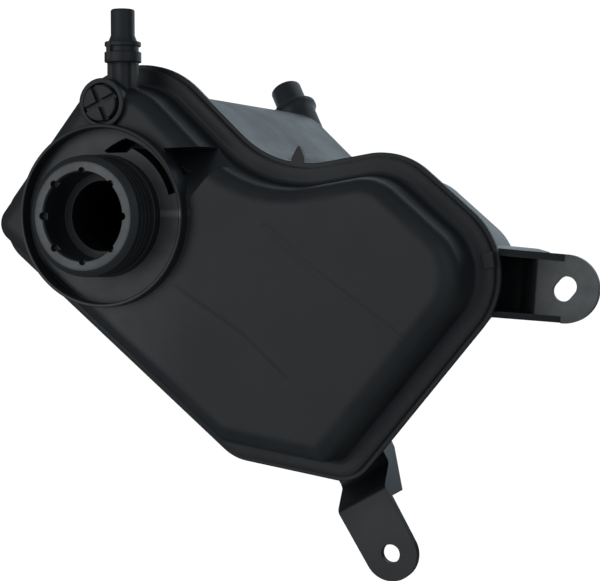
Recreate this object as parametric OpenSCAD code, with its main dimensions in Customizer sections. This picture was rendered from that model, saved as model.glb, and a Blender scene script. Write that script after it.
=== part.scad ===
/* [Tank shells] */
// Wall thickness of both mouldings
wall = 2.5; // [2:0.1:3]
// Height of the front dome above the flange
dome_h = 25; // [22:0.5:28]
// Depth of the wide chamber under the weld plane
shallow_depth = 74; // [60:1:90]
// Depth of the tall chamber under the weld plane
deep_depth = 181; // [150:1:185]
// Rounding of the dome's shoulder
shoulder_r = 9; // [7:0.5:10]
// Thickness of each of the two welded flanges
flange_t = 3; // [2.5:0.1:4]
// Width of the rear flange outside the tank wall
flange_w = 10; // [9:0.5:11]

/* [Filler neck] */
// Height of the neck's end face above the tray rim
neck_rise = 14.7; // [13:0.1:17]
// Radius over the crests of the neck's outside thread
neck_crest_r = 26; // [25.6:0.1:26.5]
// Radius of the neck's bore, in which the cap seals
neck_bore_r = 18.7; // [18:0.1:19]
// Radius of the level tube inside the neck
level_bore_r = 15.3; // [14.5:0.1:15.6]
// Outer radius of the drip tray
tray_r = 39.5; // [39:0.1:40]
// Height of the tray rim above the dome's panel
tray_rise = 6; // [5:0.5:8]

/* [Connections] */
// Radius of the bleed hose tip
bleed_tip_r = 5.2; // [4.8:0.1:5.4]
// Radius of the outlet hose tip
outlet_tip_r = 8.5; // [8:0.1:9]

/* [Mounting ears] */
// Radius of the round bolt hole
bolt_hole_r = 4.1; // [3.6:0.1:4.4]
// Half of the slotted hole's width
slot_hole_r = 4.2; // [3.6:0.1:4.4]
// Length of the slotted hole from end to end
slot_len = 11; // [9.5:0.5:12]
// Thickness of the ear pads
ear_t = 3.5; // [3:0.1:4.5]
// How far the round bolt hole stands out from its ear's root in the tub
bolt_reach = 56; // [52:1:62]
// How far the slotted hole stands out from its ear's root in the tub
slot_reach = 48; // [45:1:52]

/* [Bleed screw and float] */
// Radius of the bleed screw's head
screw_head_r = 8.2; // [7.8:0.1:8.4]
// Outer radius of the level float
float_r = 21; // [18:0.5:22]
// Height of the level float
float_h = 26; // [20:1:28]

/* [Hidden] */

// Steps in each rounded corner of a moulded outline
corner_n = 8;
// Heights: the ears' mounting face is z = 0, the neck's axis is x = y = 0
// before the whole part is moved to the round bolt hole.
weld_z = ear_t + 4;
flange_top = weld_z + flange_t;
panel_z = flange_top + dome_h;
rim_z = panel_z + tray_rise;
neck_z = rim_z + neck_rise;
tray_floor_z = panel_z - 2.6;
tray_under_z = tray_floor_z - wall;
level_z = neck_z - 18.2;
shallow_z = weld_z - shallow_depth;
deep_z = weld_z - deep_depth;
dome_draft = 3;
tub_draft = 0.6;
shallow_r = 8;
deep_r = 8;
// Where the ears are rooted in the tub, and which way they run to it
bolt_root = [91.2096, -96.54827];
slot_root = [146.29472, -26.48606];
bolt_dir = 120.7;
slot_dir = 176.4;
bolt_at = bolt_root - bolt_reach * [cos(bolt_dir), sin(bolt_dir)];
slot_at = slot_root - slot_reach * [cos(slot_dir), sin(slot_dir)];
// How far each ear's root lies under its pad
ear_drop = 18.4;

// Corners of the rear flange's edge, anticlockwise, with their radii
edge_p = [[-76, -6.5], [48, -107], [105, -115], [182, -20], [125.5, 29], [69, 19.5], [-1, 86]];
edge_r = [20, 22, 16, 35, 32, 46, 40];
// Corners of the wide chamber, whose left end lies inside the tall one
wide_p = [[-30.6, -43.3], [48, -107], [105, -115], [182, -20], [125.5, 29], [69, 19.5], [32.75, 53.94]];
wide_r = [20, 22, 16, 35, 32, 46, 20];
// Corners of the tall chamber under the filler neck
tall_p = [[-76, -6.5], [-5, -64], [66, 22.35], [-1, 86]];
tall_r = [20, 25, 25, 40];
// The tall chamber's wall lies this much inside the wide one's
lobe_step = 0.4;
// A point in the plan that sees all of the edge and of the wide chamber, and
// one that sees all of the tall chamber
wide_middle = [45, -20];
tall_middle = [-4, 9];

// Bleed screw
bleed_at = [-0.7, 48.6];
bleed_boss_r = 10.8;
bleed_boss_z = panel_z + 2.4;
bleed_floor_z = panel_z - 1.5;
seal_r = 5.6;
seal_t = 1.1;
head_bottom = bleed_floor_z + 2 * seal_t + 0.6;
head_top = rim_z - 1.9;
shank_r = 4.1;
shank_gap = 0.3;

// Float and its dry guide post
post_at = [-16, -4];
post_r = 8;
post_bore_r = 5.75;
post_top = deep_z + 72;
float_gap = 0.9;
float_z = deep_z + wall + 4.3;
magnet_gap = 0.05;
magnet_r = 15;
magnet_hole_r = 11;
magnet_h = 4.6;
// How far the magnet lies under the float's top face
magnet_sunk = 0.4;
magnet_z = float_h - magnet_h - magnet_sunk;
cap_gap = 0.05;
cap_r = 11;
cap_z = post_top - 6;

// Nipples
bleed_nipple_at = [4.6, rim_z - 14];
outlet_tip_at = [-7.4, 69.4];
outlet_dir = 121;
outlet_fall = 18;
outlet_z = deep_z - 12.5;
outlet_len = 50;
// Straight length of the outlet's tip, which the hose grips
outlet_grip = 12;

function unit(v) = v / norm(v);
function left_of(u) = [-u.y, u.x];

// Points of one rounded corner, moved inward by d. The radius of an outward
// corner shrinks by d and that of an inward corner grows by d, so every ring
// made this way is parallel to the others.
function corner_points(a, b, c, r, d, n) =
  let (
    u = unit(b - a),
    w = unit(c - b),
    nu = left_of(u),
    nw = left_of(w),
    v = b + d * (nu + nw) / (1 + nu * nw),
    turn = u.x * w.y - u.y * w.x,
    side = turn > 0 ? 1 : -1,
    ang = acos(u * w),
    rr = turn > 0 ? max(r - d, 0.6) : r + d,
    start = v - u * rr * tan(ang / 2),
    mid = start + nu * side * rr,
    a0 = atan2(start.y - mid.y, start.x - mid.x)
  )
  [for (k = [0:n]) mid + rr * [cos(a0 + side * ang * k / n), sin(a0 + side * ang * k / n)]];

function outline(p, r, d, n = corner_n) =
  let (m = len(p))
  [for (i = [0:m - 1]) each corner_points(p[(i + m - 1) % m], p[i], p[(i + 1) % m], r[i], d, n)];

// A moulded body through parallel outlines, each given as [inset, height]. Its
// end faces are fans about a point from which the whole outline can be seen.
module loft(p, r, middle, rings) {
  m = len(p) * (corner_n + 1);
  q = len(rings);
  points = concat(
    [for (g = rings) for (c = outline(p, r, g[0])) [c.x, c.y, g[1]]],
    [[middle.x, middle.y, rings[0][1]], [middle.x, middle.y, rings[q - 1][1]]]
  );
  foot = [for (j = [0:m - 1]) [j, (j + 1) % m, q * m]];
  lid = [for (j = [0:m - 1]) [(q - 1) * m + (j + 1) % m, (q - 1) * m + j, q * m + 1]];
  sides = [
    for (i = [0:q - 2]) for (j = [0:m - 1])
      [i * m + j, (i + 1) * m + j, (i + 1) * m + (j + 1) % m, i * m + (j + 1) % m]
  ];
  polyhedron(points, concat(foot, lid, sides));
}

// Dome rings: a small fillet at the flange, a drafted wall, a round shoulder
module dome(inset, top, r, foot_z, fillet) {
  d = flange_w + inset;
  d1 = d + (top - r - flange_top) * tan(dome_draft);
  foot = fillet
    ? [[d - 2, foot_z], [d - 2, flange_top], [d - 0.8, flange_top + 1.2], [d, flange_top + 3.2]]
    : [[d, foot_z]];
  loft(edge_p, edge_r, wide_middle,
    concat(foot, [for (a = [0:18:90]) [d1 + r * (1 - cos(a)), top - r + r * sin(a)]]));
}

// Chamber rings: a round edge at the bottom and a lightly drafted wall
module chamber(p, r, middle, inset, bottom, edge, top) {
  d = flange_w + inset;
  d1 = d + (weld_z - bottom - edge) * tan(tub_draft);
  loft(p, r, middle,
    concat([for (a = [90:-18:0]) [d1 + edge * (1 - cos(a)), bottom + edge - edge * sin(a)]], [[d, top]]));
}

module ring_sector(r0, r1, a0, a1, z0, z1) {
  translate([0, 0, z0])
    rotate([0, 0, a0])
      rotate_extrude(angle = a1 - a0, $fn = 96)
        translate([r0, 0])
          square([r1 - r0, z1 - z0]);
}

// The scoop beside the tray, which leads spilt coolant out over the flange
module scoop(grow) {
  difference() {
    intersection() {
      translate([0, 0, flange_top - grow])
        linear_extrude(40)
          polygon([
            [28 - grow, 28.8 + grow],
            [61 + grow, 30.5 + grow],
            [58 + grow, 24 - grow],
            [50.5 + 2 * grow, 19 - 0.4 * grow],
            [39.5 + grow / 2, 7 - grow]
          ]);
      translate([39.5, 8, panel_z - 1.4 * grow])
        rotate([0, 0, 70.6])
          rotate([0, 45, 0])
            translate([-60, -60, 0])
              cube([120, 120, 60]);
    }
    translate([0, 0, weld_z - 5])
      cylinder(r = tray_r - 0.5 - grow, h = 60, $fn = 128);
  }
}

module inner_rib(a, b, z0) {
  v = b - a;
  translate([a.x, a.y, z0])
    rotate([0, 0, atan2(v.y, v.x)])
      translate([0, -0.8, 0])
        cube([norm(v), 1.6, panel_z - 1.5 - z0]);
}

module bleed_nipple_solid() {
  translate([bleed_nipple_at.x, 0, bleed_nipple_at.y])
    rotate([-90, 0, 0]) {
      translate([0, 0, 47])
        cylinder(r = 4.6, h = 22, $fn = 64);
      translate([0, 0, 66.5])
        cylinder(r = 8, h = 4.6, $fn = 64);
      translate([0, 0, 70])
        cylinder(r = 6.9, h = 4, $fn = 64);
      translate([0, 0, 73.4])
        cylinder(r = 7.9, h = 2.1, $fn = 64);
      translate([0, 0, 75.4])
        cylinder(r1 = 6.4, r2 = bleed_tip_r, h = 2.8, $fn = 64);
      translate([0, 0, 78.1])
        cylinder(r = bleed_tip_r, h = 10.4, $fn = 64);
      translate([0, 0, 88.45])
        cylinder(r1 = bleed_tip_r, r2 = bleed_tip_r - 0.9, h = 1.05, $fn = 64);
    }
  translate([bleed_nipple_at.x - 7.1, 47, bleed_nipple_at.y - 1.2])
    cube([14.2, 21, 2.4]);
}

module front_shell() {
  color("#1d1c1c")
    difference() {
      union() {
        difference() {
          union() {
            translate([0, 0, weld_z])
              linear_extrude(flange_t)
                polygon(outline(edge_p, edge_r, 2));
            dome(0, panel_z, shoulder_r, weld_z + 1, true);
            translate([bleed_at.x, bleed_at.y, flange_top + 6])
              cylinder(r = bleed_boss_r, h = bleed_boss_z - flange_top - 6, $fn = 96);
            bleed_nipple_solid();
            translate([162.3, -21.5, weld_z + 1])
              rotate([0, 0, 10])
                cube([4.6, 6.5, flange_t]);
          }
          difference() {
            dome(wall, panel_z - wall, shoulder_r - wall + 0.5, weld_z - 1, false);
            scoop(wall);
            translate([bleed_at.x, bleed_at.y, bleed_floor_z - 14.5])
              cylinder(r = shank_r + 3.2, h = 30, $fn = 64);
            inner_rib([33, -31], [64, -50], flange_top);
            inner_rib([64, -50], [84, -68], flange_top);
            inner_rib([75, -4], [138, -51.5], flange_top);
          }
          scoop(0);
        }
        translate([0, 0, tray_under_z])
          cylinder(r = tray_r, h = rim_z - tray_under_z, $fn = 160);
        ring_sector(24.4, tray_r - 1, 8, 104, tray_under_z - 7.8, tray_under_z + 1);
        translate([0, 0, rim_z - 1])
          cylinder(r = neck_crest_r - 1.3, h = neck_z - rim_z - 1.2, $fn = 128);
        translate([0, 0, neck_z - 2.3])
          cylinder(r1 = neck_crest_r - 1.3, r2 = neck_crest_r - 2.9, h = 2.3, $fn = 128);
        translate([0, 0, neck_z - 17])
          cylinder(r = neck_crest_r, h = 13, $fn = 128);
        translate([0, 0, weld_z - 6])
          cylinder(r = level_bore_r + 2.3, h = tray_floor_z - weld_z + 6, $fn = 128);
      }
      difference() {
        translate([0, 0, tray_floor_z])
          cylinder(r = tray_r - 1.7, h = 20, $fn = 160);
        translate([0, 0, tray_floor_z - 1])
          cylinder(r = neck_crest_r - 0.4, h = 40, $fn = 128);
        translate([20, -0.5, tray_floor_z - 1])
          cube([20, 1, 2]);
      }
      translate([0, 0, level_z])
        cylinder(r = neck_bore_r, h = 30, $fn = 128);
      translate([0, 0, weld_z - 10])
        cylinder(r = level_bore_r, h = 80, $fn = 128);
      translate([0, 0, tray_under_z - 1])
        difference() {
          cylinder(r = 22, h = level_z - wall - tray_under_z + 1, $fn = 128);
          cylinder(r = level_bore_r + 2.3, h = 40, $fn = 128);
        }
      translate([0, 0, neck_z - 3.6])
        for (a = [0:45:135])
          rotate([0, 0, a])
            translate([-neck_bore_r - 1.7, -1, 0])
              cube([2 * neck_bore_r + 3.4, 2, 10]);
      ring_sector(31.6, 34.8, 17, 74, tray_under_z - 5, tray_floor_z + 3);
      translate([0, 0, tray_under_z - 5])
        linear_extrude(wall + 8)
          polygon([[8.2, 25.5], [1.4, 26.8], [-0.5, 28.4], [3.5, 30.8], [8.9, 33], [13, 32.2], [11, 29]]);
      rotate([0, 0, 31])
        translate([32.5, -2.6, tray_under_z - 4.5])
          cube([14, 5.2, 4.2]);
      translate([bleed_at.x, bleed_at.y, bleed_floor_z])
        cylinder(r = screw_head_r + 0.5, h = 20, $fn = 96);
      translate([bleed_at.x, bleed_at.y, bleed_floor_z - 30])
        cylinder(r = shank_r + shank_gap, h = 31, $fn = 64);
      translate([bleed_nipple_at.x, 40, bleed_nipple_at.y])
        rotate([-90, 0, 0])
          cylinder(r = 3.1, h = 60, $fn = 48);
    }
}

// Plan of an ear from its hole towards the tank, which is local +x
module ear_plan(end_r, root_w, length, shrink, h) {
  cylinder(r = end_r - shrink, h = h, $fn = 96);
  linear_extrude(h)
    polygon([
      [0, -end_r + shrink],
      [length, -root_w + shrink],
      [length, root_w - shrink],
      [0, end_r - shrink]
    ]);
}

// An ear steps down from its pad to the tank in a deep bend, over two side ribs.
// Beside the pad's root the ribs stand step_h under the pad's face, from rib_from
// on. With level_ribs they keep that height up to the tank.
module ear(at, dir, end_r, root_w, bend, length, rib_from, level_ribs) {
  foot = ear_t - ear_drop;
  step_h = 1.4;
  rib_w = 2.8;
  translate([at.x, at.y, 0])
    rotate([0, 0, dir]) {
      difference() {
        intersection() {
          translate([0, 0, -ear_drop - 10])
            ear_plan(end_r, root_w, length, 0, ear_drop + 30);
          translate([0, 40, 0])
            rotate([90, 0, 0])
              linear_extrude(80)
                polygon([
                  [-30, 0],
                  [bend - 1.2, 0],
                  [bend - 0.3, -0.9],
                  [bend + 5.8, foot - ear_t + 4],
                  [bend + 7.2, foot - ear_t + 1],
                  [bend + 9, foot - ear_t],
                  [length, foot - ear_t],
                  [length, foot],
                  [bend + 12, foot],
                  [bend + 10.3, foot + 0.7],
                  [bend + 9.2, foot + 2.2],
                  [bend + 3.1, ear_t - 3.4],
                  [bend + 1.8, ear_t - 1.1],
                  [bend, ear_t],
                  [-30, ear_t]
                ]);
        }
        if (level_ribs)
          difference() {
            translate([rib_from, -30, ear_t - step_h])
              cube([bend + 20, 60, 10]);
            translate([0, 0, -1])
              ear_plan(end_r, root_w, length, rib_w, ear_t + 2);
          }
      }
      difference() {
        intersection() {
          translate([0, 0, -40])
            ear_plan(end_r, root_w, length, 0, 60);
          translate([0, 40, 0])
            rotate([90, 0, 0])
              linear_extrude(80)
                polygon(concat(
                  level_ribs
                    ? [[rib_from, 0.4], [bend - 2, 0.4], [bend - 2, -6], [bend + 8, foot - 12]]
                    : [[rib_from, 1.2], [rib_from, foot + 1], [bend + 15, foot - 15]],
                  [[length, foot - 18]],
                  level_ribs
                    ? [[length, ear_t - step_h], [rib_from, ear_t - step_h]]
                    : [[length, foot - 1.7], [bend + 9.6, foot - 1.7], [bend + 7.2, foot + 1.2],
                       [bend + 0.9, 0.6], [bend - 0.6, 1.2]]
                ));
        }
        translate([0, 0, -41])
          ear_plan(end_r, root_w, length + 1, rib_w, 80);
      }
    }
}

module rear_shell() {
  color("#1b1b1d")
    difference() {
      union() {
        difference() {
          union() {
            translate([0, 0, weld_z - flange_t])
              linear_extrude(flange_t)
                polygon(outline(edge_p, edge_r, 0));
            chamber(wide_p, wide_r, wide_middle, 0, shallow_z, shallow_r, weld_z - 1);
            chamber(tall_p, tall_r, tall_middle, lobe_step, deep_z, deep_r, weld_z - 1);
            ear(bolt_at, bolt_dir, 11.9, 13, 25, bolt_reach, 21.5, false);
            ear(slot_at, slot_dir, 14.1, 14.7, 11.3, slot_reach, 0.8, true);
            translate([0, 0, weld_z - flange_t])
              linear_extrude(flange_t)
                polygon([[75.4, 22], [81.6, 22], [81.4, 25], [79.4, 30], [78.4, 30], [75.6, 25]]);
            outlet_solid();
            translate([post_at.x, post_at.y, deep_z - 5])
              cylinder(r = 11, h = 6, $fn = 96);
          }
          chamber(wide_p, wide_r, wide_middle, wall, shallow_z + wall, shallow_r - wall, weld_z + 1);
          chamber(tall_p, tall_r, tall_middle, wall + lobe_step, deep_z + wall, deep_r - wall, weld_z + 1);
        }
        translate([post_at.x, post_at.y, deep_z + 0.5]) {
          cylinder(r = post_r, h = post_top - deep_z - 0.5, $fn = 96);
          cylinder(r = 12, h = wall + 3.5, $fn = 96);
        }
      }
      translate([post_at.x, post_at.y, deep_z - 6])
        cylinder(r = post_bore_r, h = post_top - deep_z + 6 - 2, $fn = 64);
      translate([post_at.x, post_at.y, deep_z - 6])
        cylinder(r = 8.7, h = 5.2, $fn = 64);
      outlet_bore();
      translate([bolt_at.x, bolt_at.y, -1])
        cylinder(r = bolt_hole_r, h = ear_t + 2, $fn = 64);
      translate([slot_at.x, slot_at.y, -1])
        rotate([0, 0, 50]) {
          for (s = [-1, 1])
            translate([s * (slot_len / 2 - slot_hole_r), 0, 0])
              cylinder(r = slot_hole_r, h = ear_t + 2, $fn = 64);
          translate([slot_hole_r - slot_len / 2, -slot_hole_r, 0])
            cube([slot_len - 2 * slot_hole_r, 2 * slot_hole_r, ear_t + 2]);
        }
    }
}

// The outlet's own frame: +z runs from its tip back up to the elbow
module outlet_frame() {
  translate([outlet_tip_at.x, outlet_tip_at.y, outlet_z])
    rotate([0, 0, outlet_dir])
      rotate([0, outlet_fall - 90, 0])
        children();
}

// The upright axis of the elbow that carries the outlet under the tub
module elbow_frame() {
  translate([outlet_tip_at.x, outlet_tip_at.y, 0])
    rotate([0, 0, outlet_dir])
      translate([-outlet_len * cos(outlet_fall), 0, 0])
        children();
}

module outlet_solid() {
  outlet_frame() {
    rotate_extrude($fn = 96)
      polygon([
        [0, 0],
        [outlet_tip_r - 1, 0],
        [outlet_tip_r, 1.2],
        [outlet_tip_r, outlet_grip + 1.2],
        [outlet_tip_r + 1.3, outlet_grip + 2.5],
        [0, outlet_grip + 2.5]
      ]);
    translate([0, 0, outlet_grip + 2])
      cylinder(r = outlet_tip_r + 3.9, h = 2.6, $fn = 96);
    translate([0, 0, outlet_grip + 4.5])
      cylinder(r1 = outlet_tip_r + 3.6, r2 = outlet_tip_r + 2.2, h = 2.4, $fn = 96);
    translate([0, 0, outlet_grip + 6.8])
      cylinder(r = outlet_tip_r + 2.2, h = outlet_len - outlet_grip - 6.8, $fn = 96);
  }
  elbow_frame()
    translate([0, 0, deep_z - 9])
      cylinder(r = outlet_tip_r + 3, h = 10, $fn = 96);
}

module outlet_bore() {
  outlet_frame()
    translate([0, 0, -1])
      cylinder(r = outlet_tip_r - 2, h = outlet_len + 1, $fn = 64);
  elbow_frame()
    translate([0, 0, deep_z - 5])
      cylinder(r = outlet_tip_r - 2, h = 20, $fn = 64);
}

module bleed_screw() {
  color("#1a1a1b")
    translate([bleed_at.x, bleed_at.y, 0])
      difference() {
        union() {
          translate([0, 0, head_bottom])
            cylinder(r = screw_head_r, h = head_top - head_bottom, $fn = 96);
          translate([0, 0, bleed_floor_z - 11])
            cylinder(r = shank_r, h = head_bottom - bleed_floor_z + 11.5, $fn = 64);
        }
        for (a = [24, 114])
          rotate([0, 0, a])
            translate([-screw_head_r - 1, -0.9, head_top - 1.7])
              cube([2 * screw_head_r + 2, 1.8, 3]);
      }
}

module bleed_screw_seal() {
  color("#141414")
    translate([bleed_at.x, bleed_at.y, bleed_floor_z + seal_t + 0.3])
      rotate_extrude($fn = 96)
        translate([seal_r, 0])
          circle(r = seal_t, $fn = 32);
}

module level_float() {
  color("#d9d6cc")
    translate([post_at.x, post_at.y, float_z])
      difference() {
        cylinder(r = float_r, h = float_h, $fn = 96);
        translate([0, 0, -1])
          cylinder(r = post_r + float_gap, h = float_h + 2, $fn = 96);
        translate([0, 0, magnet_z])
          difference() {
            cylinder(r = magnet_r + magnet_gap, h = magnet_h + 2, $fn = 96);
            cylinder(r = magnet_hole_r - magnet_gap, h = magnet_h + 2, $fn = 96);
          }
      }
}

module float_magnet() {
  color("#55565a")
    translate([post_at.x, post_at.y, float_z + magnet_z])
      difference() {
        cylinder(r = magnet_r, h = magnet_h, $fn = 96);
        translate([0, 0, -1])
          cylinder(r = magnet_hole_r, h = magnet_h + 2, $fn = 96);
      }
}

module float_cap() {
  color("#d9d6cc")
    translate([post_at.x, post_at.y, cap_z])
      difference() {
        cylinder(r = cap_r, h = 7.8, $fn = 96);
        translate([0, 0, -1])
          cylinder(r = post_r + cap_gap, h = 7 + cap_gap, $fn = 96);
      }
}

// The whole part is placed with the round bolt hole's axis at x = y = 0
module placed() {
  translate([-bolt_at.x, -bolt_at.y, 0])
    children();
}

placed() front_shell();
placed() rear_shell();
placed() bleed_screw();
placed() bleed_screw_seal();
placed() level_float();
placed() float_magnet();
placed() float_cap();
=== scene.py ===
import math

import bmesh
import bpy
import numpy as np
from mathutils import Matrix, Vector


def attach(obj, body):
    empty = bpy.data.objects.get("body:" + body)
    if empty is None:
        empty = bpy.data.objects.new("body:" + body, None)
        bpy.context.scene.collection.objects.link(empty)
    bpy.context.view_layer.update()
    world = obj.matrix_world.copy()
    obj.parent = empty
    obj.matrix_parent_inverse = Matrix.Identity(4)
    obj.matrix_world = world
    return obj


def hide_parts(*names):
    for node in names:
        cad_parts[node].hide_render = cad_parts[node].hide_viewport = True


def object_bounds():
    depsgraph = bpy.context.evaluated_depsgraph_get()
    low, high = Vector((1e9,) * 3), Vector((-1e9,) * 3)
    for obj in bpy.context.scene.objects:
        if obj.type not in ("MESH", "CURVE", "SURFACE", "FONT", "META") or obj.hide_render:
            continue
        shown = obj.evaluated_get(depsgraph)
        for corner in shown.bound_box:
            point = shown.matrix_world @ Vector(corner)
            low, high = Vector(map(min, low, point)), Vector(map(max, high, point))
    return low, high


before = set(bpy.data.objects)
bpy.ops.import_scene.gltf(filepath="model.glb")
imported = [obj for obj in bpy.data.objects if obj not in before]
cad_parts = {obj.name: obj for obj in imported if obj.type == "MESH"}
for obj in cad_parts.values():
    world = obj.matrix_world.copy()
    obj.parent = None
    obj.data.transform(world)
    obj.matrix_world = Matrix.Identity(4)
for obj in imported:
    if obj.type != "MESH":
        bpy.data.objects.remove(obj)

cad_box = [list(c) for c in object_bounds()]

# The solids are in millimetres and degrees, round the filler neck's axis, as in the CAD.
# The camera, the floor, the lights and the depth of bumps are in metres.
MM = 1000
NECK_AT = np.array([-119.8, 144.7, 0.0])
LAP = 1                          # how far solids run into each other, or a cutter past a face

# Flanges and walls
wall = 2.5
weld_z = 7.5
flange_t = 3.0
flange_top = 10.5
wall_inset = 10                  # from the flange's edge to the foot of the walls
dome_draft = 3
chamber_draft = 0.6
foot_w, foot_h = 2.4, 3.2        # fillet between the flange and the dome

# Dome and chambers
panel_z = 35.5
shoulder_r = 9.0
shallow_z = -66.5
deep_z = -173.5
bottom_r = 8.0
lobe_step = 0.4                  # the tall chamber's wall lies this much further in
least_corner = 0.6
CORNER_N = 22
INNER_N = 10                     # fewer points a corner on the hidden insides
MIDDLE = (45, -20)
EDGE = ([(-76, -6.5), (48, -107), (105, -115), (182, -20), (125.5, 29), (69, 19.5), (-1, 86)],
        [20, 22, 16, 35, 32, 46, 40], MIDDLE)
WIDE = ([(-30.6, -43.3), (48, -107), (105, -115), (182, -20), (125.5, 29), (69, 19.5), (32.75, 53.94)],
        [20, 22, 16, 35, 32, 46, 20], MIDDLE)
TALL = ([(-76, -6.5), (-5, -64), (66, 22.35), (-1, 86)], [20, 25, 25, 40], (-4, 9))

# Ribs inside the dome, and the sink lines that show over them
INNER_RIBS = [((33, -31), (64, -50)), ((64, -50), (84, -68)), ((75, -4), (138, -51.5))]
SINK_LINES = [((33, -31), (64, -50)), ((64, -50), (84, -68)),
              ((75, -4), (96, -22)), ((96, -22), (138, -51.5))]
rib_half = 0.8
rib_lap = 1.5                    # how far below the panel's face a rib ends
sink_w = 2.6

# Filler neck and drip tray
neck_z = 56.2
neck_crest_r = 26.0
neck_bore_r = 18.7
thread_root_r = 25.7
thread_pitch = 3.2
END_EDGE = [(25.0, 1.7), (24.0, 0.7), (23.0, 0.18), (22.1, 0)]   # radius, depth below the end face
notch_r, notch_at, notch_deep = 1.6, 19.1, 3.6
mouth_deep, mouth_wider = 0.8, 0.9
level_z = 38.0
level_bore_r = 15.3
sleeve_r = level_bore_r + 2.3
tray_r = 39.5
rim_z = 41.5
tray_floor_z = 32.9
tray_under_z = 30.4
SLOT = (31.8, 34.9, 16.5, 74)    # radii and angles of the tray's curved slot
GUTTER = (24.4, tray_r - 1, 8, 104)
gutter_deep = 13
slot_deep = 11
POCKET = [(10.4, 27.3), (12.6, 29.0), (12.2, 31.6), (8.8, 33.1),
          (3.5, 30.6), (-0.5, 28.0), (1.4, 27.2), (7.1, 27.3)]
floor_rib = ((25, 0.5), (38.2, 1.9))
floor_rib_h = 0.8

# Bleed screw and hose tip
bleed_at = (-0.7, 48.6)
boss_r, boss_h = 10.8, 2.4
boss_bore_r = 8.7
boss_floor_z = panel_z - 1.5
boss_root_r, boss_root_z = 7.3, 19.5
screw_hole_r, screw_r = 4.4, 4.1
seal_t = 2.8                     # the squeezed seal, between the boss's floor and the head
head_r = 7.8
head_top = rim_z - 1.9
cross_half, cross_deep, cross_len = 1.15, 2.1, 9.2
cross_angles = (24, 114)
tip_x, tip_z = 4.6, rim_z - 14
tip_bore_r = 3.1
TIP_STEPS = [                    # radius, start and end along y, and how the ends are shaped
    (4.6, 47, 69, {}),
    (8, 66.5, 71.1, {"round0": 0.4, "round1": 0.5}),
    (6.9, 70, 74, {}),
    (7.9, 73.4, 75.5, {"round0": 0.4, "round1": 0.6}),
    (6.4, 75.2, 78.2, {"r2": 5.2}),
    (5.2, 78.0, 89.5, {"round1": 0.9}),
]

# Outlet under the tall chamber
outlet_tip_at = (-7.4, 69.4)
outlet_z = deep_z - 12.5
outlet_dir, outlet_fall = 121, 18
outlet_len, outlet_grip = 50, 12
outlet_r = 8.5
outlet_bore_r = outlet_r - 2
pipe_r = outlet_r + 2.2
elbow_r, elbow_h = outlet_r + 3, 9

# Level sensor's dry post
post_at = (-16.0, -4.0)
post_h = 72
post_r, post_foot_r, post_foot_h = 8, 12, 6.5
pad_r, pad_h = 11, 5
pocket_r, pocket_mouth_r = 5.75, 8.7

# Ears
ear_t = 3.5
ear_drop = 18.4
ear_foot_z = ear_t - ear_drop
ear_rib_w = 2.8
bolt_at, bolt_r = (119.8, -144.7), 4.1
slot_at, slot_r, slot_half, slot_dir = (194.2, -29.5), 4.2, 1.3, 50
BOLT_EAR = dict(at=bolt_at, direction=120.7, end_r=11.9, root_w=13, bend=25, length=56,
                rib_from=21.5, level_ribs=False)
SLOT_EAR = dict(at=slot_at, direction=176.4, end_r=14.1, root_w=14.7, bend=11.3, length=48,
                rib_from=0.8, level_ribs=True)


# ---------------------------------------------------------------- solids
def outline(p, r, d, n=CORNER_N):
    """A filleted outline moved inward by d, as an array of points, anticlockwise."""
    points = []
    for i in range(len(p)):
        a, b, c = (np.array(p[k % len(p)], float) for k in (i - 1, i, i + 1))
        u = (b - a) / np.linalg.norm(b - a)
        w = (c - b) / np.linalg.norm(c - b)
        nu, nw = np.array([-u[1], u[0]]), np.array([-w[1], w[0]])
        v = b + d * (nu + nw) / (1 + nu @ nw)
        turn = u[0] * w[1] - u[1] * w[0]
        side = 1 if turn > 0 else -1
        ang = math.acos(max(-1, min(1, u @ w)))
        rr = max(r[i] - d, least_corner) if turn > 0 else r[i] + d
        start = v - u * rr * math.tan(ang / 2)
        mid = start + nu * side * rr
        a0 = math.atan2(start[1] - mid[1], start[0] - mid[0])
        for k in range(n + 1):
            t = a0 + side * ang * k / n
            points.append(mid + rr * np.array([math.cos(t), math.sin(t)]))
    return np.array(points)


def solid(verts, faces, matrix=None):
    """An object from points in millimetres round the neck's axis; matrix is applied first."""
    v = np.array(verts, float)
    if matrix is not None:
        m = np.array(matrix)
        v = v @ m[:3, :3].T + m[:3, 3]
    mesh = bpy.data.meshes.new("solid")
    mesh.from_pydata(((v + NECK_AT) / MM).tolist(), [], faces)
    bm = bmesh.new()
    bm.from_mesh(mesh)
    bmesh.ops.recalc_face_normals(bm, faces=bm.faces)
    bm.to_mesh(mesh)
    bm.free()
    obj = bpy.data.objects.new("solid", mesh)
    bpy.context.scene.collection.objects.link(obj)
    return obj


def loft(p, r, middle, rings, n=CORNER_N):
    """A moulded body through parallel outlines, each given as (inset, height)."""
    verts, faces = [], []
    for d, z in rings:
        verts += [(x, y, z) for x, y in outline(p, r, d, n)]
    m = len(p) * (n + 1)
    q = len(rings)
    verts += [(*middle, rings[0][1]), (*middle, rings[-1][1])]
    for j in range(m):
        k = (j + 1) % m
        faces.append((k, j, q * m))
        faces.append(((q - 1) * m + j, (q - 1) * m + k, q * m + 1))
        faces += [(i * m + j, i * m + k, (i + 1) * m + k, (i + 1) * m + j) for i in range(q - 1)]
    return solid(verts, faces)


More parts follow.
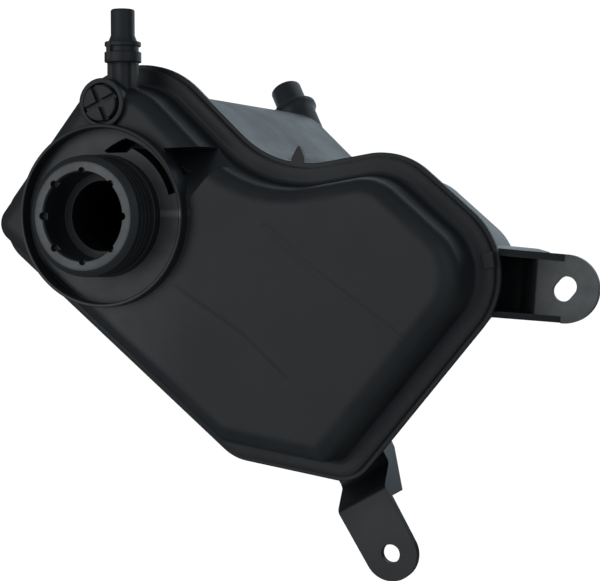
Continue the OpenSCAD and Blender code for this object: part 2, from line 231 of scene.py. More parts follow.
def dome(inset, top, r, foot_z, fillet, n=CORNER_N):
    """Dome rings: a small fillet at the flange, a drafted wall, a round shoulder."""
    d = wall_inset + inset
    d1 = d + (top - r - flange_top) * math.tan(math.radians(dome_draft))
    foot = [(d, foot_z)]
    if fillet:
        foot = [(d - foot_w, foot_z), (d - foot_w, flange_top)]
        foot += [(d - foot_w + foot_w * math.sin(t), flange_top + foot_h * (1 - math.cos(t)))
                 for t in np.radians([15, 30, 45, 60, 75, 90])]
    head = [(d1 + r * (1 - math.cos(a)), top - r + r * math.sin(a)) for a in np.radians(np.arange(0, 91, 9))]
    return loft(*EDGE, foot + head, n)


def chamber(p, r, middle, inset, bottom, edge, top, n=CORNER_N):
    """Chamber rings: a round edge at the bottom and a lightly drafted wall."""
    d = wall_inset + inset
    d1 = d + (weld_z - bottom - edge) * math.tan(math.radians(chamber_draft))
    rings = [(d1 + edge * (1 - math.cos(a)), bottom + edge - edge * math.sin(a))
             for a in np.radians(np.arange(90, -1, -9))]
    return loft(p, r, middle, rings + [(d, top)], n)


def lathe(profile, n=96, matrix=None, turn=(0, 360)):
    """A solid turned round z, from a closed loop of (radius, height), or one that starts and ends at 0."""
    whole = turn[1] - turn[0] >= 360
    steps = n if whole else n + 1
    angles = [math.radians(turn[0] + (turn[1] - turn[0]) * i / n) for i in range(steps)]
    verts, index = [], []
    for r, z in profile:
        if r == 0:
            index.append([len(verts)] * steps)
            verts.append((0, 0, z))
        else:
            index.append(list(range(len(verts), len(verts) + steps)))
            verts += [(r * math.cos(a), r * math.sin(a), z) for a in angles]
    faces = []
    q = len(profile)
    open_ends = profile[0][0] == 0 and profile[-1][0] == 0
    for i in range(q - 1 if open_ends else q):
        a, b = index[i], index[(i + 1) % q]
        for j in range(steps if whole else steps - 1):
            k = (j + 1) % steps
            face = []
            for v in (a[j], a[k], b[k], b[j]):
                if v not in face:
                    face.append(v)
            if len(face) > 2:
                faces.append(face)
    if not whole:
        faces.append([ring[0] for ring in index])
        faces.append([ring[-1] for ring in index])
    return solid(verts, faces, matrix)


def cylinder(r, z0, z1, n=96, at=(0, 0), r2=None, round0=0, round1=0, matrix=None):
    """A cylinder or cone; round0 and round1 round its lower and upper rim."""
    r2 = r if r2 is None else r2
    quarter = np.radians([0, 30, 60, 90])
    profile = [(0, z0)]
    if round0:
        profile += [(r - round0 * (1 - math.sin(t)), z0 + round0 * (1 - math.cos(t))) for t in quarter]
    else:
        profile.append((r, z0))
    if round1:
        profile += [(r2 - round1 * (1 - math.cos(t)), z1 - round1 * (1 - math.sin(t))) for t in quarter]
    else:
        profile.append((r2, z1))
    profile.append((0, z1))
    m = Matrix.Translation((at[0], at[1], 0))
    return lathe(profile, n, m if matrix is None else matrix @ m)


def box(lo, hi, matrix=None):
    """A block between two corners."""
    v = [(x, y, z) for x in (lo[0], hi[0]) for y in (lo[1], hi[1]) for z in (lo[2], hi[2])]
    f = [(0, 1, 3, 2), (4, 6, 7, 5), (0, 4, 5, 1), (2, 3, 7, 6), (0, 2, 6, 4), (1, 5, 7, 3)]
    return solid(v, f, matrix)


def prism(points, z0, z1, matrix=None):
    """A flat outline raised from z0 to z1."""
    n = len(points)
    v = [(x, y, z0) for x, y in points] + [(x, y, z1) for x, y in points]
    f = [list(range(n))[::-1], list(range(n, 2 * n))]
    f += [(i, (i + 1) % n, n + (i + 1) % n, n + i) for i in range(n)]
    return solid(v, f, matrix)


def arc(cx, cz, r, a0, a1, n=5):
    """Points on an arc round (cx, cz), for a profile."""
    angles = [math.radians(a0 + (a1 - a0) * i / n) for i in range(n + 1)]
    return [(cx + r * math.cos(a), cz + r * math.sin(a)) for a in angles]


def ring_sector(r0, r1, a0, a1, z0, z1):
    """A piece of a flat ring, between two radii, angles and heights."""
    return lathe([(r0, z0), (r1, z0), (r1, z1), (r0, z1)], 48, turn=(a0, a1))


def combine(target, tools, operation):
    """Applies a boolean of each tool to target and deletes the tools."""
    for tool in tools:
        m = target.modifiers.new("cut", "BOOLEAN")
        m.object, m.operation, m.solver = tool, operation, "MANIFOLD"
    mesh = bpy.data.meshes.new_from_object(target.evaluated_get(bpy.context.evaluated_depsgraph_get()))
    target.modifiers.clear()
    old = target.data
    target.data = mesh
    bpy.data.meshes.remove(old)
    for tool in tools:
        tool_mesh = tool.data
        bpy.data.objects.remove(tool)
        bpy.data.meshes.remove(tool_mesh)
    return target


def union(target, tools):
    return combine(target, tools, "UNION")


def cut(target, tools):
    return combine(target, tools, "DIFFERENCE")


def common(target, tools):
    return combine(target, tools, "INTERSECT")


def moved(x=0, y=0, z=0):
    return Matrix.Translation((x, y, z))


def turned(deg, axis="Z"):
    return Matrix.Rotation(math.radians(deg), 4, axis)


def finish_piece(obj, name, body, material):
    """Names a piece, cleans and shades it, and lets it ride on its body."""
    weld, sharp = 2e-6, 32
    obj.name = obj.data.name = name
    bm = bmesh.new()
    bm.from_mesh(obj.data)
    bmesh.ops.remove_doubles(bm, verts=bm.verts, dist=weld)
    bmesh.ops.dissolve_degenerate(bm, edges=bm.edges, dist=weld)
    bm.to_mesh(obj.data)
    bm.free()
    obj.data.shade_smooth()
    obj.data.set_sharp_from_angle(angle=math.radians(sharp))
    obj.data.materials.clear()
    obj.data.materials.append(material)
    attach(obj, body)
    return obj


# ---------------------------------------------------------------- camera
camera_at = Vector((0.2184, 0.1497, 0.6477))
view_a, view_e = math.radians(22.0), math.radians(3.08)
camera = bpy.data.objects.new("camera", bpy.data.cameras.new("camera"))
bpy.context.scene.collection.objects.link(camera)
back = Vector((math.sin(view_a) * math.cos(view_e), math.sin(view_e), math.cos(view_a) * math.cos(view_e)))
right = Vector((0, 1, 0)).cross(back).normalized()
up = back.cross(right)
camera.matrix_world = Matrix((*zip(right, up, back, camera_at), (0, 0, 0, 1)))
camera.data.sensor_width = 36
camera.data.lens = 96
bpy.context.scene.camera = camera


# ---------------------------------------------------------------- materials
# The next colour is a paler tone painted onto upward faces as a painted highlight.
HIGHLIGHT_PAINT = (0.160, 0.156, 0.150, 1)
WORN_EDGE = (0.10, 0.10, 0.105, 1)
DUST = (0.20, 0.19, 0.17, 1)
edge_radius = 0.0006
waviness = 0.00016
sink_depth = 0.00026
plain_grain = 0.00005


class Nodes:
    """Short calls for building a node tree."""

    def __init__(self, tree):
        self.tree = tree

    def add(self, kind, **values):
        node = self.tree.nodes.new(kind)
        for key, value in values.items():
            setattr(node, key, value)
        return node

    def link(self, a, b):
        self.tree.links.new(a, b)

    def put(self, socket, value):
        if isinstance(value, bpy.types.NodeSocket):
            self.link(value, socket)
        else:
            socket.default_value = value

    def math(self, operation, a, b=0.0, clamp=False):
        node = self.add("ShaderNodeMath", operation=operation, use_clamp=clamp)
        self.put(node.inputs[0], a)
        self.put(node.inputs[1], b)
        return node.outputs[0]

    def vector(self, operation, a, b=(0, 0, 0), out=0):
        """A vector result is output 0, a number such as a distance is output 1."""
        node = self.add("ShaderNodeVectorMath", operation=operation)
        self.put(node.inputs[0], a)
        self.put(node.inputs[1], b)
        return node.outputs[out]

    def noise(self, coords, scale, detail, rough):
        node = self.add("ShaderNodeTexNoise")
        self.link(coords, node.inputs["Vector"])
        node.inputs["Scale"].default_value = scale
        node.inputs["Detail"].default_value = detail
        node.inputs["Roughness"].default_value = rough
        return node.outputs["Fac"]

    def ramp(self, value, lo, hi, out_lo=0.0, out_hi=1.0, smooth=True):
        """Maps lo..hi to out_lo..out_hi and stops at its ends."""
        node = self.add("ShaderNodeMapRange", interpolation_type="SMOOTHSTEP" if smooth else "LINEAR")
        self.link(value, node.inputs["Value"])
        for key, v in (("From Min", lo), ("From Max", hi), ("To Min", out_lo), ("To Max", out_hi)):
            self.put(node.inputs[key], v)
        return node.outputs["Result"]

    def mix(self, fac, a, b):
        node = self.add("ShaderNodeMix", data_type="RGBA")
        self.put(node.inputs["Factor"], fac)
        self.put(node.inputs["A"], a)
        self.put(node.inputs["B"], b)
        return node.outputs["Result"]

    def bump(self, height, distance, normal=None):
        node = self.add("ShaderNodeBump")
        node.inputs["Distance"].default_value = distance
        self.link(height, node.inputs["Height"])
        if normal:
            self.link(normal, node.inputs["Normal"])
        return node.outputs["Normal"]


def new_material(name):
    """A node material, with its short calls, its shader and its object coordinates."""
    m = bpy.data.materials.new(name)
    m.use_nodes = True
    n = Nodes(m.node_tree)
    return m, n, m.node_tree.nodes["Principled BSDF"], n.add("ShaderNodeTexCoord").outputs["Object"]


def moulded(name, dark, light, rough, grain, marks=None, painted_highlight=None):
    """Moulded black plastic: uneven colour, dust, fine grain, rounded and worn edges.

    marks gives bumps as (height, depth), and the last argument gives 1 where upward faces are painted paler,
    with more specular: a painted highlight."""
    m, n, shader, coords = new_material(name)
    facing = n.add("ShaderNodeNewGeometry").outputs["True Normal"]
    round_edge = n.add("ShaderNodeBevel", samples=4)
    round_edge.inputs["Radius"].default_value = edge_radius
    edge = n.ramp(n.vector("DOT_PRODUCT", round_edge.outputs[0], facing, 1), 0.995, 0.90)
    cloud = n.noise(coords, scale=28, detail=4, rough=0.6)
    patch = n.noise(coords, scale=9, detail=2, rough=0.5)
    speck = n.noise(coords, scale=900, detail=2, rough=0.7)
    fine = n.noise(coords, scale=2600, detail=2, rough=0.6)
    scuff = n.ramp(n.noise(coords, scale=260, detail=5, rough=0.75), 0.60, 0.78)
    tone = n.math("ADD", n.math("MULTIPLY", cloud, 0.6), n.math("MULTIPLY", patch, 0.5))
    colour = n.mix(n.ramp(tone, 0.35, 0.75), (*dark, 1), (*light, 1))
    # Painted highlight: upward faces picked by the mask are painted paler and given more specular.
    if painted_highlight:
        upward = n.ramp(n.vector("DOT_PRODUCT", facing, (0, 0, 1), 1), 0.93, 0.995)
        blotch = n.ramp(n.noise(coords, scale=75, detail=4, rough=0.65), 0.25, 0.7, 0.55, 1.0)
        highlight_mask = n.math("MULTIPLY", n.math("MULTIPLY", upward, painted_highlight(n, coords)), blotch)
        colour = n.mix(highlight_mask, colour, HIGHLIGHT_PAINT)
        n.link(n.ramp(highlight_mask, 0.0, 1.0, 0.5, 1.0, smooth=False), shader.inputs["Specular IOR Level"])
    colour = n.mix(n.math("MULTIPLY", edge, 0.22), colour, WORN_EDGE)
    colour = n.mix(n.math("MULTIPLY", n.ramp(speck, 0.66, 0.8), 0.05), colour, DUST)
    n.link(colour, shader.inputs["Base Color"])
    uneven = n.ramp(tone, 0.35, 0.75, rough - 0.07, rough + 0.09)
    n.link(n.math("ADD", uneven, n.math("MULTIPLY", scuff, 0.08)), shader.inputs["Roughness"])
    shader.inputs["IOR"].default_value = 1.5
    skin = n.math("ADD", n.math("MULTIPLY", fine, 0.5), n.math("MULTIPLY", speck, 0.8))
    bumps = [(skin, grain), (n.noise(coords, scale=60, detail=2, rough=0.5), waviness)]
    normal = round_edge.outputs[0]
    for height, depth in bumps + (marks(n, coords) if marks else []):
        normal = n.bump(height, depth, normal)
    n.link(normal, shader.inputs["Normal"])
    return m


def near_line(n, coords, a, b, width):
    """1 on the line from a to b, seen along z, falling off over width."""
    pa = (Vector((*a, 0)) + Vector(NECK_AT)) / MM
    pb = (Vector((*b, 0)) + Vector(NECK_AT)) / MM
    flat = n.vector("MULTIPLY", coords, (1, 1, 0))
    along = pb - pa
    rel = n.vector("SUBTRACT", flat, tuple(pa))
    t = n.math("DIVIDE", n.vector("DOT_PRODUCT", rel, tuple(along), 1), along.length_squared, clamp=True)
    scaled = n.add("ShaderNodeVectorMath", operation="SCALE")
    scaled.inputs[0].default_value = tuple(along)
    n.link(t, scaled.inputs["Scale"])
    away = n.vector("DISTANCE", rel, scaled.outputs[0], 1)
    return n.ramp(away, width / MM, 0.0)


def spot(n, coords, at, z, inner, outer):
    """1 within inner of a point, fading to 0 at outer."""
    centre = (Vector((*at, z)) + Vector(NECK_AT)) / MM
    return n.ramp(n.vector("DISTANCE", coords, tuple(centre), 1), inner / MM, outer / MM, 1.0, 0.0)


def front_painted_highlight(n, coords):
    """Painted highlight: the neck's end face, the tray's floor, the dome beside it and the tray's short rib
    are painted paler where they face up."""
    split = n.add("ShaderNodeSeparateXYZ")
    n.link(coords, split.inputs[0])
    height = split.outputs[2]
    rim = n.math("MULTIPLY", spot(n, coords, (0, 0), neck_z, 26.5, 27.5), 0.95)
    rim = n.math("MULTIPLY", rim, n.ramp(height, (neck_z - 1.5) / MM, (neck_z - 0.6) / MM))
    tray = n.math("MULTIPLY", spot(n, coords, (-2, -4), tray_floor_z, 36, 44), 0.34)
    left = n.math("MULTIPLY", spot(n, coords, (-12, -38), panel_z, 10, 62), 0.28)
    rib = near_line(n, coords, (26, 1.2), (38, 1.2), 3.2)
    rib = n.math("MULTIPLY", rib, n.ramp(height, (tray_floor_z + 0.4) / MM, (tray_floor_z + 0.7) / MM))
    return n.math("MAXIMUM", n.math("MAXIMUM", rim, rib), n.math("MAXIMUM", tray, left))


def rear_painted_highlight(n, coords):
    """Painted highlight: the pads of the ears are painted paler round their holes."""
    bolt = n.math("MULTIPLY", spot(n, coords, bolt_at, ear_t, 14, 30), 0.12)
    slot = n.math("MULTIPLY", spot(n, coords, (slot_at[0] + 7, slot_at[1]), ear_t, 6, 26), 0.85)
    return n.math("MAXIMUM", bolt, slot)


def panel_marks(n, coords):
    """The shallow sink lines over the inner ribs."""
    total = None
    for a, b in SINK_LINES:
        line = near_line(n, coords, a, b, sink_w)
        total = line if total is None else n.math("MAXIMUM", total, line)
    return [(n.math("MULTIPLY", total, -1), sink_depth)]


def plain(name, colour, rough, metallic=0.0):
    """A simple material with slight clouding and a fine grain, for the small and inner pieces."""
    m, n, shader, coords = new_material(name)
    cloud = n.noise(coords, scale=60, detail=4, rough=0.6)
    fine = n.noise(coords, scale=1500, detail=3, rough=0.6)
    darker = (*[c * 0.9 for c in colour], 1)
    lighter = (*[min(c * 1.08, 1) for c in colour], 1)
    n.link(n.mix(n.ramp(cloud, 0.3, 0.7), darker, lighter), shader.inputs["Base Color"])
    n.link(n.ramp(cloud, 0.3, 0.7, rough - 0.05, rough + 0.05), shader.inputs["Roughness"])
    shader.inputs["Metallic"].default_value = metallic
    n.link(n.bump(fine, plain_grain), shader.inputs["Normal"])
    return m


front_plastic = moulded("front_plastic", (0.013, 0.013, 0.0135), (0.028, 0.0265, 0.025),
                        rough=0.42, grain=0.00003, marks=panel_marks, painted_highlight=front_painted_highlight)
rear_plastic = moulded("rear_plastic", (0.0165, 0.0165, 0.017), (0.023, 0.023, 0.024),
                       rough=0.40, grain=0.00003, painted_highlight=rear_painted_highlight)
screw_plastic = moulded("screw_plastic", (0.020, 0.020, 0.020), (0.030, 0.030, 0.030),
                        rough=0.46, grain=0.00002)
seal_rubber = plain("seal_rubber", (0.012, 0.012, 0.012), 0.7)
float_plastic = plain("float_plastic", (0.66, 0.64, 0.58), 0.55)
ferrite = plain("ferrite", (0.09, 0.09, 0.10), 0.5, metallic=0.3)


# ---------------------------------------------------------------- front shell
def scoop(grow):
    """The recess beside the tray, grown by grow: an upright block under a sloping face."""
    plan = [(28 - grow, 28.8 + grow), (61 + grow, 30.5 + grow), (58 + grow, 24 - grow),
            (50.5 + 2 * grow, 19 - 0.4 * grow), (39.5 + grow / 2, 7 - grow)]
    block = 120
    bottom = flange_top - grow
    body = prism(plan, bottom, bottom + 40)
    slope = moved(39.5, 8, panel_z - 1.4 * grow) @ turned(70.6) @ turned(45, "Y")
    common(body, [box((0, 0, 0), (block, block, block / 2), slope @ moved(-block / 2, -block / 2, 0))])
    return cut(body, [cylinder(tray_r - 0.5 - grow, weld_z - 5, weld_z + 55, 128)])


def inner_rib(a, b):
    """A thin rib on edge from a to b, between the flange and the panel."""
    length = math.hypot(b[0] - a[0], b[1] - a[1])
    m = moved(a[0], a[1], flange_top) @ turned(math.degrees(math.atan2(b[1] - a[1], b[0] - a[0])))
    return box((0, -rib_half, 0), (length, rib_half, panel_z - rib_lap - flange_top), m)


def neck_thread():
    """The neck's outside with its low, rounded thread, up to the rounded edge of the end face."""
    z0, z1 = neck_z - 17.2, neck_z - 2.3
    n, rows = 160, 96

    def within(x):
        return max(0.0, min(1.0, x))

    def radius(turn, z):
        along = (z - z0) / (z1 - z0)
        phase = ((z - z0) / thread_pitch - turn) % 1.0
        ridge = within(1.7 - 4.4 * abs(phase - 0.5))
        ridge = ridge * ridge * (3 - 2 * ridge)
        fade = within((along - 0.02) * 12) * within((0.94 - along) * 12)
        return thread_root_r + (neck_crest_r - thread_root_r) * ridge * fade

    turns = [j / n for j in range(n)]
    rings = []
    for i in range(rows + 1):
        z = z0 + (z1 - z0) * i / rows
        rings.append(([radius(t, z) for t in turns], z))
    rings += [([r] * n, neck_z - depth) for r, depth in END_EDGE]
    verts = [(0, 0, z0)]
    for radii, z in rings:
        verts += [(r * math.cos(2 * math.pi * t), r * math.sin(2 * math.pi * t), z)
                  for r, t in zip(radii, turns)]
    verts.append((0, 0, neck_z))
    faces = []
    last = len(rings) - 1
    for j in range(n):
        k = (j + 1) % n
        faces.append((0, 1 + k, 1 + j))
        faces += [(1 + i * n + j, 1 + i * n + k, 1 + (i + 1) * n + k, 1 + (i + 1) * n + j)
                  for i in range(last)]
        faces.append((1 + last * n + j, 1 + last * n + k, len(verts) - 1))
    return solid(verts, faces)


def drip_tray():
    """The tray, turned: its underside, its rounded rim, its floor, and the neck's root."""
    edge_r, rim_in, wall_in = 0.6, 1.1, 3.7
    floor_r, root_r, root_at = 2.0, 1.0, 27.5
    profile = [(0, tray_under_z), (tray_r - edge_r, tray_under_z), (tray_r, tray_under_z + edge_r),
               (tray_r, rim_z - edge_r)]
    profile += arc(tray_r - edge_r, rim_z - edge_r, edge_r, 0, 90, 4)[1:]
    profile += arc(tray_r - rim_in, rim_z - edge_r, edge_r, 90, 180, 4)
    profile += arc(tray_r - wall_in, tray_floor_z + floor_r, floor_r, 0, -90, 6)
    profile += arc(root_at, tray_floor_z + root_r, root_r, -90, -180, 4)
    profile += [(26.4, rim_z - 1.3), (26.0, rim_z - 1.0), (0, rim_z - 1.0)]
    return lathe(profile, 160)


def bleed_hose_tip(place):
    """The connection for the bleed hose, with its collars, a rib beside it and a tab on top."""
    steps = [cylinder(r, y0, y1, 64, matrix=place, **ends) for r, y0, y1, ends in TIP_STEPS]
    rib = box((-2.5, 47, tip_z - 1.2), (11.7, 68, tip_z + 1.2))
    tab = box((0.6, 67.2, tip_z - 1.6), (2.6, 75.2, tip_z + 7.8))
    return steps + [rib, tab]


def neck_mouth():
    """Cutters for the eight notches and the slightly wider mouth of the neck's bore."""
    notches = [cylinder(notch_r, neck_z - notch_deep, neck_z + 6, 24, (notch_at, 0), matrix=turned(a))
               for a in range(0, 360, 45)]
    mouth = cylinder(neck_bore_r, neck_z - mouth_deep, neck_z + mouth_deep / 2, 128,
                     r2=neck_bore_r + mouth_wider)
    return notches + [mouth]


def build_front():
    outer = loft(*EDGE, [(2, weld_z), (2, flange_top - 0.7), (2.2, flange_top - 0.2),
                         (2.7, flange_top), (5, flange_top - 0.01)])
    boss = cylinder(boss_r, flange_top + 6, panel_z + boss_h, 96, bleed_at, round1=0.5)
    tip = moved(tip_x, 0, tip_z) @ turned(-90, "X")
    flange_tab = box((0, 0, 0), (4.6, 6.5, flange_t), moved(162.3, -21.5, weld_z + LAP) @ turned(10))
    union(outer, [dome(0, panel_z, shoulder_r, weld_z + LAP, True), boss] + bleed_hose_tip(tip)
          + [flange_tab])

    hollow = dome(wall, panel_z - wall, shoulder_r - wall + 0.5, weld_z - LAP, False, INNER_N)
    boss_root = cylinder(boss_root_r, boss_root_z, boss_root_z + 30, 64, bleed_at)
    cut(hollow, [scoop(wall), boss_root] + [inner_rib(a, b) for a, b in INNER_RIBS])
    cut(outer, [hollow, scoop(0)])

    gutter = ring_sector(*GUTTER, tray_under_z - gutter_deep, tray_under_z + LAP)
    sleeve = cylinder(sleeve_r, weld_z - 6, tray_floor_z, 128)
    union(outer, [drip_tray(), gutter, neck_thread(), sleeve])

    under = cylinder(22, tray_under_z - LAP, level_z - wall, 128)
    cut(under, [cylinder(sleeve_r, tray_under_z - 5, tray_under_z + 40, 128)])
    cut(outer, [
        cylinder(neck_bore_r, level_z, level_z + 30, 128),
        cylinder(level_bore_r, weld_z - 10, weld_z + 70, 128),
        under,
        ring_sector(*SLOT, tray_under_z - slot_deep, tray_floor_z + 3),
        prism(POCKET, tray_under_z - slot_deep - 0.1, tray_under_z + 5.5),
        box((32.5, -2.6, tray_under_z - 4.5), (46.5, 2.6, tray_under_z - 0.3), turned(31)),
        cylinder(boss_bore_r, boss_floor_z, boss_floor_z + 20, 96, bleed_at),
        cylinder(screw_hole_r, boss_floor_z - 30, boss_floor_z + LAP, 64, bleed_at),
        cylinder(tip_bore_r, 40, 100, 48, matrix=tip),
    ] + neck_mouth())
    (x0, y0), (x1, y1) = floor_rib
    return union(outer, [box((x0, y0, tray_floor_z - 0.4), (x1, y1, tray_floor_z + floor_rib_h))])


# ---------------------------------------------------------------- rear shell
def ear_plan(end_r, root_w, length, shrink, z0, z1, m):
    """An ear seen from above: a round end, widening or narrowing to its root."""
    end, root = end_r - shrink, root_w - shrink
    body = cylinder(end, z0, z1, 96, matrix=m)
    return union(body, [prism([(0, -end), (length, -root), (length, root), (0, end)], z0, z1, m)])


def side_profile(points, m):
    """A solid as wide as any ear, from points along the ear and up."""
    width = 80
    return prism(points, 0, width, m @ moved(0, width / 2, 0) @ turned(90, "X"))


def ear(at, direction, end_r, root_w, bend, length, rib_from, level_ribs):
    """A bolt ear: a pad, a bend down to its foot, and a rib along each side, level or sloping."""
    m = moved(at[0], at[1], 0) @ turned(direction)
    foot = ear_foot_z
    under_foot = foot - ear_t
    upper = [(bend, ear_t), (bend + 0.7, ear_t - 0.15), (bend + 1.5, ear_t - 0.8), (bend + 2.4, ear_t - 2),
             (bend + 3.1, ear_t - 3.4), (bend + 9.2, foot + 2.2), (bend + 9.8, foot + 1.2),
             (bend + 10.6, foot + 0.5), (bend + 12, foot)]
    lower = [(-30, 0), (bend - 1.2, 0), (bend - 0.3, -0.9), (bend + 5.8, under_foot + 4),
             (bend + 7.2, under_foot + 1), (bend + 9, under_foot), (length, under_foot), (length, foot)]
    if level_ribs:
        rib = [(rib_from, 0.4), (bend - 2, 0.4), (bend - 2, -6), (bend + 8, foot - 12), (length, foot - 18),
               (length, ear_t - 0.3), (rib_from, ear_t - 0.3)]
    else:
        rib = [(rib_from, 1.2), (rib_from, foot + 1), (bend + 15, foot - 15), (length, foot - 18),
               (length, foot - 1.7), (bend + 9.6, foot - 1.7), (bend + 7.2, foot + 1.2),
               (bend + 0.9, 0.6), (bend - 0.6, 1.2)]
    pad = ear_plan(end_r, root_w, length, 0, foot - 14, foot + 26, m)
    common(pad, [side_profile(lower + upper[::-1] + [(-30, ear_t)], m)])
    ribs = ear_plan(end_r, root_w, length, 0, -40, 20, m)
    common(ribs, [side_profile(rib, m)])
    cut(ribs, [ear_plan(end_r, root_w, length + LAP, ear_rib_w, -41, 39, m)])
    union(pad, [ribs])
    if level_ribs:
        cut(pad, [strip_wedge(side, end_r, root_w, length, rib_from, m) for side in (-1, 1)])
    return pad


def strip_wedge(side, end_r, root_w, length, start, m):
    """A cutter that slopes a level rib's top, from the pad's face down to the rib's outer side."""
    verts = []
    for x in (start, length + 2):
        w = end_r + (root_w - end_r) * x / length
        inner, outer = side * (w - ear_rib_w), side * (w + 1)
        verts += [(x, inner, ear_t - 0.3), (x, outer, ear_t - 3.4),
                  (x, outer, ear_t + 5), (x, inner, ear_t + 5)]
    faces = [(0, 1, 2, 3), (4, 7, 6, 5), (0, 4, 5, 1), (1, 5, 6, 2), (2, 6, 7, 3), (3, 7, 4, 0)]
    return solid(verts, faces, m)


def build_outlet(out, elbow):
    """The outlet: its hose tip, a collar, the pipe, and the elbow under the tall chamber."""
    grip, r = outlet_grip, outlet_r
    return [
        cylinder(r, 0, grip + 2, 96, round0=1.2, matrix=out),
        cylinder(r, grip + 1.2, grip + 2.5, 96, r2=r + 1.3, matrix=out),
        cylinder(r + 3.9, grip + 2, grip + 4.6, 96, round0=0.5, round1=0.3, matrix=out),
        cylinder(r + 3.6, grip + 4.5, grip + 6.9, 96, r2=pipe_r, matrix=out),
        cylinder(pipe_r, grip + 6.8, outlet_len, 96, matrix=out),
        cylinder(elbow_r, deep_z - elbow_h, deep_z + LAP, 96, round0=1.5, matrix=elbow),
    ]


def slot_hole():
    """Cutters for the slotted hole of the second ear."""
    place = moved(*slot_at) @ turned(slot_dir)
    ends = [cylinder(slot_r, -LAP, ear_t + LAP, 64, (s * slot_half, 0), matrix=place) for s in (-1, 1)]
    return ends + [box((-slot_half, -slot_r, -LAP), (slot_half, slot_r, ear_t + LAP), place)]


def build_rear():
    flange_low = weld_z - flange_t
    shell = loft(*EDGE, [(0.5, flange_low), (0, flange_low + 0.5), (0, weld_z - 0.3), (0.3, weld_z)])
    outlet_place = moved(*outlet_tip_at, outlet_z) @ turned(outlet_dir) @ turned(outlet_fall - 90, "Y")
    inward = -outlet_len * math.cos(math.radians(outlet_fall))
    elbow_place = moved(*outlet_tip_at, 0) @ turned(outlet_dir) @ moved(inward, 0, 0)
    flange_point = [(75.4, 22), (81.6, 22), (81.4, 25), (79.4, 30), (78.4, 30), (75.6, 25)]
    union(shell, [
        chamber(*WIDE, 0, shallow_z, bottom_r, weld_z - LAP),
        chamber(*TALL, lobe_step, deep_z, bottom_r, weld_z - LAP),
        ear(**BOLT_EAR), ear(**SLOT_EAR),
        prism(flange_point, flange_low, weld_z),
    ] + build_outlet(outlet_place, elbow_place) + [
        cylinder(pad_r, deep_z - pad_h, deep_z + LAP, 96, post_at, round0=0.5),
    ])
    cut(shell, [
        chamber(*WIDE, wall, shallow_z + wall, bottom_r - wall, weld_z + LAP, INNER_N),
        chamber(*TALL, wall + lobe_step, deep_z + wall, bottom_r - wall, weld_z + LAP, INNER_N),
    ])
    post_top = deep_z + post_h
    union(shell, [cylinder(post_r, deep_z + 0.5, post_top, 96, post_at),
                  cylinder(post_foot_r, deep_z + 0.5, deep_z + post_foot_h, 96, post_at)])
    cut(shell, [
        cylinder(pocket_r, deep_z - 6, post_top - 2, 64, post_at),
        cylinder(pocket_mouth_r, deep_z - 6, deep_z - 0.8, 64, post_at),
        cylinder(outlet_bore_r, -LAP, outlet_len, 64, matrix=outlet_place),
        cylinder(outlet_bore_r, deep_z - 5, deep_z + 15, 64, matrix=elbow_place),
        cylinder(bolt_r, -LAP, ear_t + LAP, 64, bolt_at),
    ] + slot_hole())
    return shell


# ---------------------------------------------------------------- bleed screw
def build_screw():
    head_bottom = boss_floor_z + seal_t
    screw = cylinder(head_r, head_bottom, head_top, 96, bleed_at, round0=0.3, round1=0.5)
    union(screw, [cylinder(screw_r, boss_floor_z - 11, head_bottom + 0.5, 64, bleed_at)])
    low, high = (-cross_len, -cross_half, head_top - cross_deep), (cross_len, cross_half, head_top + 1.3)
    return cut(screw, [box(low, high, moved(*bleed_at) @ turned(a)) for a in cross_angles])


front = finish_piece(build_front(), "front_skin", "tank", front_plastic)
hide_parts("front_shell")
rear = finish_piece(build_rear(), "rear_skin", "tank", rear_plastic)
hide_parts("rear_shell")
screw = finish_piece(build_screw(), "screw_skin", "bleed_screw", screw_plastic)
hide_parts("bleed_screw")
for node, material in (("bleed_screw_seal", seal_rubber), ("level_float", float_plastic),
                       ("float_magnet", ferrite), ("float_cap", float_plastic)):
    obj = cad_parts[node]
    obj.data.materials.clear()
    obj.data.materials.append(material)


# ---------------------------------------------------------------- stage and light
WHITE = (1, 1, 1, 1)
white_level = 1.05               # a little over 1, so that the background is plain white
floor_grey = (0.55, 0.55, 0.55, 1)
floor_z = cad_box[0][2] - 0.0005
glow_at = (0.0, 0.24, floor_z)
glow_colour = (0.76, 0.91, 1.0, 1)
sky_colour, sky_level = (0.72, 0.86, 1.0, 1), 0.25
middle = Vector((-0.06, 0.12, 0.0))

bpy.ops.mesh.primitive_plane_add(size=4, location=(0, 0, floor_z))
floor = bpy.context.object
floor.name = "floor"
floor_paint = bpy.data.materials.new("floor_paint")
floor_paint.use_nodes = True
fn = Nodes(floor_paint.node_tree)
floor_shader = floor_paint.node_tree.nodes["Principled BSDF"]
floor_shader.inputs["Base Color"].default_value = floor_grey
floor_shader.inputs["Roughness"].default_value = 0.9
glow = fn.add("ShaderNodeEmission")
pick = fn.add("ShaderNodeMixShader")
path = fn.add("ShaderNodeLightPath")
seen, gloss = path.outputs["Is Camera Ray"], path.outputs["Is Glossy Ray"]
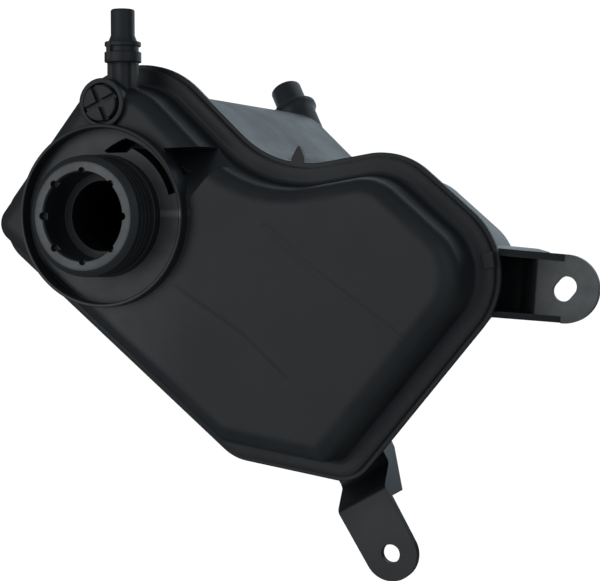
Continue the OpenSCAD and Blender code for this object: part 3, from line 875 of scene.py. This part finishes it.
# The camera sees the floor as plain white, without a shadow. In the tank's gloss it is bright
# daylight behind the tank, which fades away from it.
away = fn.vector("DISTANCE", fn.add("ShaderNodeNewGeometry").outputs["Position"], glow_at, 1)
near_tank = fn.ramp(away, 0.10, 0.26, 0.95, 0.08)
level = fn.math("ADD", fn.math("MULTIPLY", seen, white_level), fn.math("MULTIPLY", gloss, near_tank))
fn.link(fn.mix(seen, glow_colour, WHITE), glow.inputs["Color"])
fn.link(level, glow.inputs["Strength"])
fn.link(fn.math("MAXIMUM", seen, gloss), pick.inputs[0])
fn.link(floor_shader.outputs[0], pick.inputs[1])
fn.link(glow.outputs[0], pick.inputs[2])
fn.link(pick.outputs[0], floor_paint.node_tree.nodes["Material Output"].inputs["Surface"])
floor.data.materials.append(floor_paint)

world = bpy.data.worlds.new("studio")
bpy.context.scene.world = world
world.use_nodes = True
wn = Nodes(world.node_tree)
base = world.node_tree.nodes["Background"]
white = wn.add("ShaderNodeBackground")
for shader, colour, strength in ((base, sky_colour, sky_level), (white, WHITE, white_level)):
    shader.inputs["Color"].default_value = colour
    shader.inputs["Strength"].default_value = strength
choose = wn.add("ShaderNodeMixShader")
wn.link(wn.add("ShaderNodeLightPath").outputs["Is Camera Ray"], choose.inputs[0])
wn.link(base.outputs[0], choose.inputs[1])
wn.link(white.outputs[0], choose.inputs[2])
wn.link(choose.outputs[0], world.node_tree.nodes["World Output"].inputs["Surface"])


def area(name, offset, size, power, colour):
    """A rectangular lamp at an offset from the tank's middle, which it points at."""
    light = bpy.data.objects.new(name, bpy.data.lights.new(name, "AREA"))
    light.data.shape = "RECTANGLE"
    light.data.size, light.data.size_y = size
    light.data.energy = power
    light.data.color = colour
    light.location = middle + Vector(offset)
    light.rotation_mode = "QUATERNION"
    light.rotation_quaternion = (-Vector(offset)).to_track_quat("-Z", "Y")
    bpy.context.scene.collection.objects.link(light)


area("overhead", offset=(-0.6, 0.15, 1.45), size=(1.5, 1.4), power=4.4, colour=(1.0, 0.98, 0.95))
area("sky_side", offset=(1.3, 0.5, 0.9), size=(1.2, 1.2), power=1.5, colour=(0.66, 0.84, 1.0))

bpy.context.scene.view_settings.view_transform = "Standard"
